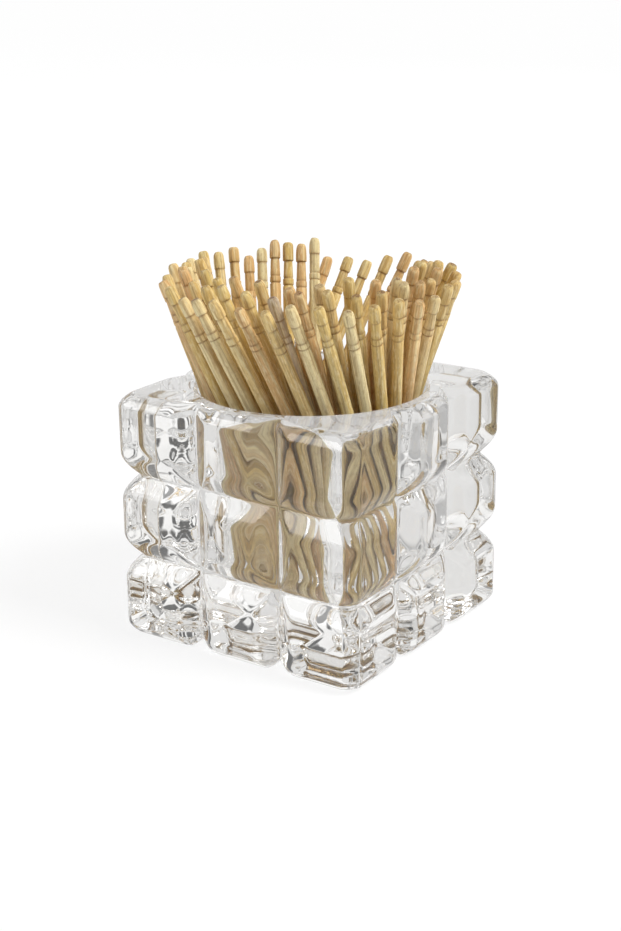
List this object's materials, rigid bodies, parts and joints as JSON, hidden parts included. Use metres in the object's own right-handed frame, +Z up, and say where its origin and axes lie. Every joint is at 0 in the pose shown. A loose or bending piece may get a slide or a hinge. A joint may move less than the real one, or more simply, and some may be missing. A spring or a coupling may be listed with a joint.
{
  "type": "toothpick holder",
  "caption": "Clear pressed-glass block with grooved square panels and a round well that holds loose turned wooden toothpicks fanned outwards.",
  "frame": {"origin": "centre of the glass block's face that it stands on", "axes": "+Z up along the well, X and Y square to the block's sides"},
  "size_m": [0.0588, 0.0598, 0.0744],
  "materials": {
    "clear_glass": "clear pressed glass, fire polished",
    "pale_wood": "bare turned wood"
  },
  "bodies": {
    "holder": {"glass_holder": "clear_glass"},
    "outer_pick_1": {"outer_pick_1": "pale_wood"},
    "outer_pick_2": {"outer_pick_2": "pale_wood"},
    "outer_pick_3": {"outer_pick_3": "pale_wood"},
    "outer_pick_4": {"outer_pick_4": "pale_wood"},
    "outer_pick_5": {"outer_pick_5": "pale_wood"},
    "outer_pick_6": {"outer_pick_6": "pale_wood"},
    "outer_pick_7": {"outer_pick_7": "pale_wood"},
    "outer_pick_8": {"outer_pick_8": "pale_wood"},
    "outer_pick_9": {"outer_pick_9": "pale_wood"},
    "outer_pick_10": {"outer_pick_10": "pale_wood"},
    "outer_pick_11": {"outer_pick_11": "pale_wood"},
    "outer_pick_12": {"outer_pick_12": "pale_wood"},
    "outer_pick_13": {"outer_pick_13": "pale_wood"},
    "outer_pick_14": {"outer_pick_14": "pale_wood"},
    "outer_pick_15": {"outer_pick_15": "pale_wood"},
    "outer_pick_16": {"outer_pick_16": "pale_wood"},
    "outer_pick_17": {"outer_pick_17": "pale_wood"},
    "outer_pick_18": {"outer_pick_18": "pale_wood"},
    "outer_pick_19": {"outer_pick_19": "pale_wood"},
    "outer_pick_20": {"outer_pick_20": "pale_wood"},
    "outer_pick_21": {"outer_pick_21": "pale_wood"},
    "outer_pick_22": {"outer_pick_22": "pale_wood"},
    "outer_pick_23": {"outer_pick_23": "pale_wood"},
    "outer_pick_24": {"outer_pick_24": "pale_wood"},
    "outer_pick_25": {"outer_pick_25": "pale_wood"},
    "back_right_pick_1": {"back_right_pick_1": "pale_wood"},
    "back_right_pick_2": {"back_right_pick_2": "pale_wood"},
    "back_right_pick_3": {"back_right_pick_3": "pale_wood"},
    "back_right_pick_4": {"back_right_pick_4": "pale_wood"},
    "back_right_pick_5": {"back_right_pick_5": "pale_wood"},
    "back_pick_1": {"back_pick_1": "pale_wood"},
    "back_pick_2": {"back_pick_2": "pale_wood"},
    "back_pick_3": {"back_pick_3": "pale_wood"},
    "back_pick_4": {"back_pick_4": "pale_wood"},
    "back_pick_5": {"back_pick_5": "pale_wood"},
    "back_pick_6": {"back_pick_6": "pale_wood"},
    "back_left_pick_1": {"back_left_pick_1": "pale_wood"},
    "back_left_pick_2": {"back_left_pick_2": "pale_wood"},
    "back_left_pick_3": {"back_left_pick_3": "pale_wood"},
    "back_left_pick_4": {"back_left_pick_4": "pale_wood"},
    "second_row_pick_1": {"second_row_pick_1": "pale_wood"},
    "second_row_pick_2": {"second_row_pick_2": "pale_wood"},
    "second_row_pick_3": {"second_row_pick_3": "pale_wood"},
    "second_row_pick_4": {"second_row_pick_4": "pale_wood"},
    "second_row_pick_5": {"second_row_pick_5": "pale_wood"},
    "second_row_pick_6": {"second_row_pick_6": "pale_wood"},
    "second_row_pick_7": {"second_row_pick_7": "pale_wood"},
    "second_row_pick_8": {"second_row_pick_8": "pale_wood"},
    "second_row_pick_9": {"second_row_pick_9": "pale_wood"},
    "second_row_pick_10": {"second_row_pick_10": "pale_wood"},
    "second_row_pick_11": {"second_row_pick_11": "pale_wood"},
    "second_row_pick_12": {"second_row_pick_12": "pale_wood"},
    "second_row_pick_13": {"second_row_pick_13": "pale_wood"},
    "second_row_pick_14": {"second_row_pick_14": "pale_wood"},
    "second_row_pick_15": {"second_row_pick_15": "pale_wood"},
    "second_row_pick_16": {"second_row_pick_16": "pale_wood"},
    "second_row_pick_17": {"second_row_pick_17": "pale_wood"},
    "second_row_pick_18": {"second_row_pick_18": "pale_wood"},
    "third_row_picks": {"third_row_picks": "pale_wood"}
  },
  "joints": [
    {"name": "outer_pick_1_lift", "type": "slide", "parent": "holder", "child": "outer_pick_1", "axis": [-0.3671, 0.2019, 0.908], "range_m": [0, 0.066]},
    {"name": "outer_pick_2_lift", "type": "slide", "parent": "holder", "child": "outer_pick_2", "axis": [-0.4005, 0.1314, 0.9068], "range_m": [0, 0.066]},
    {"name": "outer_pick_3_lift", "type": "slide", "parent": "holder", "child": "outer_pick_3", "axis": [-0.418, 0.0581, 0.9066], "range_m": [0, 0.066]},
    {"name": "outer_pick_4_lift", "type": "slide", "parent": "holder", "child": "outer_pick_4", "axis": [-0.4199, -0.0136, 0.9074], "range_m": [0, 0.066]},
    {"name": "outer_pick_5_lift", "type": "slide", "parent": "holder", "child": "outer_pick_5", "axis": [-0.4091, -0.0827, 0.9087], "range_m": [0, 0.066]},
    {"name": "outer_pick_6_lift", "type": "slide", "parent": "holder", "child": "outer_pick_6", "axis": [-0.3876, -0.1508, 0.9094], "range_m": [0, 0.066]},
    {"name": "outer_pick_7_lift", "type": "slide", "parent": "holder", "child": "outer_pick_7", "axis": [-0.355, -0.2183, 0.909], "range_m": [0, 0.066]},
    {"name": "outer_pick_8_lift", "type": "slide", "parent": "holder", "child": "outer_pick_8", "axis": [-0.3104, -0.282, 0.9078], "range_m": [0, 0.066]},
    {"name": "outer_pick_9_lift", "type": "slide", "parent": "holder", "child": "outer_pick_9", "axis": [-0.2546, -0.3361, 0.9067], "range_m": [0, 0.066]},
    {"name": "outer_pick_10_lift", "type": "slide", "parent": "holder", "child": "outer_pick_10", "axis": [-0.1913, -0.376, 0.9067], "range_m": [0, 0.066]},
    {"name": "outer_pick_11_lift", "type": "slide", "parent": "holder", "child": "outer_pick_11", "axis": [-0.1244, -0.4009, 0.9076], "range_m": [0, 0.066]},
    {"name": "outer_pick_12_lift", "type": "slide", "parent": "holder", "child": "outer_pick_12", "axis": [-0.0556, -0.4134, 0.9089], "range_m": [0, 0.066]},
    {"name": "outer_pick_13_lift", "type": "slide", "parent": "holder", "child": "outer_pick_13", "axis": [0.0162, -0.4155, 0.9094], "range_m": [0, 0.066]},
    {"name": "outer_pick_14_lift", "type": "slide", "parent": "holder", "child": "outer_pick_14", "axis": [0.0912, -0.407, 0.9089], "range_m": [0, 0.066]},
    {"name": "outer_pick_15_lift", "type": "slide", "parent": "holder", "child": "outer_pick_15", "axis": [0.1662, -0.3855, 0.9076], "range_m": [0, 0.066]},
    {"name": "outer_pick_16_lift", "type": "slide", "parent": "holder", "child": "outer_pick_16", "axis": [0.2351, -0.3503, 0.9067], "range_m": [0, 0.066]},
    {"name": "outer_pick_17_lift", "type": "slide", "parent": "holder", "child": "outer_pick_17", "axis": [0.2928, -0.3034, 0.9067], "range_m": [0, 0.066]},
    {"name": "outer_pick_18_lift", "type": "slide", "parent": "holder", "child": "outer_pick_18", "axis": [0.3378, -0.2485, 0.9078], "range_m": [0, 0.066]},
    {"name": "outer_pick_19_lift", "type": "slide", "parent": "holder", "child": "outer_pick_19", "axis": [0.3722, -0.1875, 0.909], "range_m": [0, 0.066]},
    {"name": "outer_pick_20_lift", "type": "slide", "parent": "holder", "child": "outer_pick_20", "axis": [0.3982, -0.1201, 0.9094], "range_m": [0, 0.066]},
    {"name": "outer_pick_21_lift", "type": "slide", "parent": "holder", "child": "outer_pick_21", "axis": [0.4149, -0.046, 0.9087], "range_m": [0, 0.066]},
    {"name": "outer_pick_22_lift", "type": "slide", "parent": "holder", "child": "outer_pick_22", "axis": [0.4189, 0.0321, 0.9074], "range_m": [0, 0.066]},
    {"name": "outer_pick_23_lift", "type": "slide", "parent": "holder", "child": "outer_pick_23", "axis": [0.4078, 0.1084, 0.9066], "range_m": [0, 0.066]},
    {"name": "outer_pick_24_lift", "type": "slide", "parent": "holder", "child": "outer_pick_24", "axis": [0.3822, 0.1775, 0.9068], "range_m": [0, 0.066]},
    {"name": "outer_pick_25_lift", "type": "slide", "parent": "holder", "child": "outer_pick_25", "axis": [0.3451, 0.2376, 0.908], "range_m": [0, 0.066]},
    {"name": "back_right_pick_1_lift", "type": "slide", "parent": "holder", "child": "back_right_pick_1", "axis": [0.242, 0.3783, 0.8935], "range_m": [0, 0.066]},
    {"name": "back_right_pick_2_lift", "type": "slide", "parent": "holder", "child": "back_right_pick_2", "axis": [0.1974, 0.421, 0.8853], "range_m": [0, 0.066]},
    {"name": "back_right_pick_3_lift", "type": "slide", "parent": "holder", "child": "back_right_pick_3", "axis": [0.1454, 0.457, 0.8775], "range_m": [0, 0.066]},
    {"name": "back_right_pick_4_lift", "type": "slide", "parent": "holder", "child": "back_right_pick_4", "axis": [0.0869, 0.4857, 0.8698], "range_m": [0, 0.066]},
    {"name": "back_right_pick_5_lift", "type": "slide", "parent": "holder", "child": "back_right_pick_5", "axis": [0.0217, 0.5072, 0.8616], "range_m": [0, 0.066]},
    {"name": "back_pick_1_lift", "type": "slide", "parent": "holder", "child": "back_pick_1", "axis": [-0.2005, 0.3016, 0.9321], "range_m": [0, 0.066]},
    {"name": "back_pick_2_lift", "type": "slide", "parent": "holder", "child": "back_pick_2", "axis": [-0.2037, 0.3009, 0.9316], "range_m": [0, 0.066]},
    {"name": "back_pick_3_lift", "type": "slide", "parent": "holder", "child": "back_pick_3", "axis": [-0.2102, 0.3036, 0.9293], "range_m": [0, 0.066]},
    {"name": "back_pick_4_lift", "type": "slide", "parent": "holder", "child": "back_pick_4", "axis": [-0.2227, 0.3093, 0.9245], "range_m": [0, 0.066]},
    {"name": "back_pick_5_lift", "type": "slide", "parent": "holder", "child": "back_pick_5", "axis": [-0.2435, 0.3164, 0.9168], "range_m": [0, 0.066]},
    {"name": "back_pick_6_lift", "type": "slide", "parent": "holder", "child": "back_pick_6", "axis": [-0.2734, 0.3221, 0.9064], "range_m": [0, 0.066]},
    {"name": "back_left_pick_1_lift", "type": "slide", "parent": "holder", "child": "back_left_pick_1", "axis": [-0.2587, 0.2689, 0.9278], "range_m": [0, 0.066]},
    {"name": "back_left_pick_2_lift", "type": "slide", "parent": "holder", "child": "back_left_pick_2", "axis": [-0.2955, 0.2531, 0.9212], "range_m": [0, 0.066]},
    {"name": "back_left_pick_3_lift", "type": "slide", "parent": "holder", "child": "back_left_pick_3", "axis": [-0.3329, 0.2312, 0.9142], "range_m": [0, 0.066]},
    {"name": "back_left_pick_4_lift", "type": "slide", "parent": "holder", "child": "back_left_pick_4", "axis": [-0.3716, 0.2022, 0.9061], "range_m": [0, 0.066]},
    {"name": "second_row_pick_1_lift", "type": "slide", "parent": "holder", "child": "second_row_pick_1", "axis": [-0.3508, 0.0548, 0.9348], "range_m": [0, 0.066]},
    {"name": "second_row_pick_2_lift", "type": "slide", "parent": "holder", "child": "second_row_pick_2", "axis": [-0.3516, -0.015, 0.936], "range_m": [0, 0.066]},
    {"name": "second_row_pick_3_lift", "type": "slide", "parent": "holder", "child": "second_row_pick_3", "axis": [-0.3398, -0.0852, 0.9366], "range_m": [0, 0.066]},
    {"name": "second_row_pick_4_lift", "type": "slide", "parent": "holder", "child": "second_row_pick_4", "axis": [-0.3151, -0.1558, 0.9362], "range_m": [0, 0.066]},
    {"name": "second_row_pick_5_lift", "type": "slide", "parent": "holder", "child": "second_row_pick_5", "axis": [-0.2757, -0.2228, 0.9351], "range_m": [0, 0.066]},
    {"name": "second_row_pick_6_lift", "type": "slide", "parent": "holder", "child": "second_row_pick_6", "axis": [-0.2225, -0.2792, 0.9341], "range_m": [0, 0.066]},
    {"name": "second_row_pick_7_lift", "type": "slide", "parent": "holder", "child": "second_row_pick_7", "axis": [-0.1596, -0.3194, 0.9341], "range_m": [0, 0.066]},
    {"name": "second_row_pick_8_lift", "type": "slide", "parent": "holder", "child": "second_row_pick_8", "axis": [-0.0923, -0.3424, 0.935], "range_m": [0, 0.066]},
    {"name": "second_row_pick_9_lift", "type": "slide", "parent": "holder", "child": "second_row_pick_9", "axis": [-0.023, -0.3508, 0.9362], "range_m": [0, 0.066]},
    {"name": "second_row_pick_10_lift", "type": "slide", "parent": "holder", "child": "second_row_pick_10", "axis": [0.0485, -0.347, 0.9366], "range_m": [0, 0.066]},
    {"name": "second_row_pick_11_lift", "type": "slide", "parent": "holder", "child": "second_row_pick_11", "axis": [0.1219, -0.3301, 0.9361], "range_m": [0, 0.066]},
    {"name": "second_row_pick_12_lift", "type": "slide", "parent": "holder", "child": "second_row_pick_12", "axis": [0.1929, -0.2979, 0.9349], "range_m": [0, 0.066]},
    {"name": "second_row_pick_13_lift", "type": "slide", "parent": "holder", "child": "second_row_pick_13", "axis": [0.2542, -0.2509, 0.934], "range_m": [0, 0.066]},
    {"name": "second_row_pick_14_lift", "type": "slide", "parent": "holder", "child": "second_row_pick_14", "axis": [0.3003, -0.1929, 0.9342], "range_m": [0, 0.066]},
    {"name": "second_row_pick_15_lift", "type": "slide", "parent": "holder", "child": "second_row_pick_15", "axis": [0.33, -0.1286, 0.9352], "range_m": [0, 0.066]},
    {"name": "second_row_pick_16_lift", "type": "slide", "parent": "holder", "child": "second_row_pick_16", "axis": [0.346, -0.0606, 0.9363], "range_m": [0, 0.066]},
    {"name": "second_row_pick_17_lift", "type": "slide", "parent": "holder", "child": "second_row_pick_17", "axis": [0.3502, 0.0113, 0.9366], "range_m": [0, 0.066]},
    {"name": "second_row_pick_18_lift", "type": "slide", "parent": "holder", "child": "second_row_pick_18", "axis": [0.3414, 0.0866, 0.9359], "range_m": [0, 0.066]},
    {"name": "third_row_picks_lift", "type": "slide", "parent": "holder", "child": "third_row_picks", "axis": [0, 0, 1], "range_m": [0, 0.066]}
  ]
}
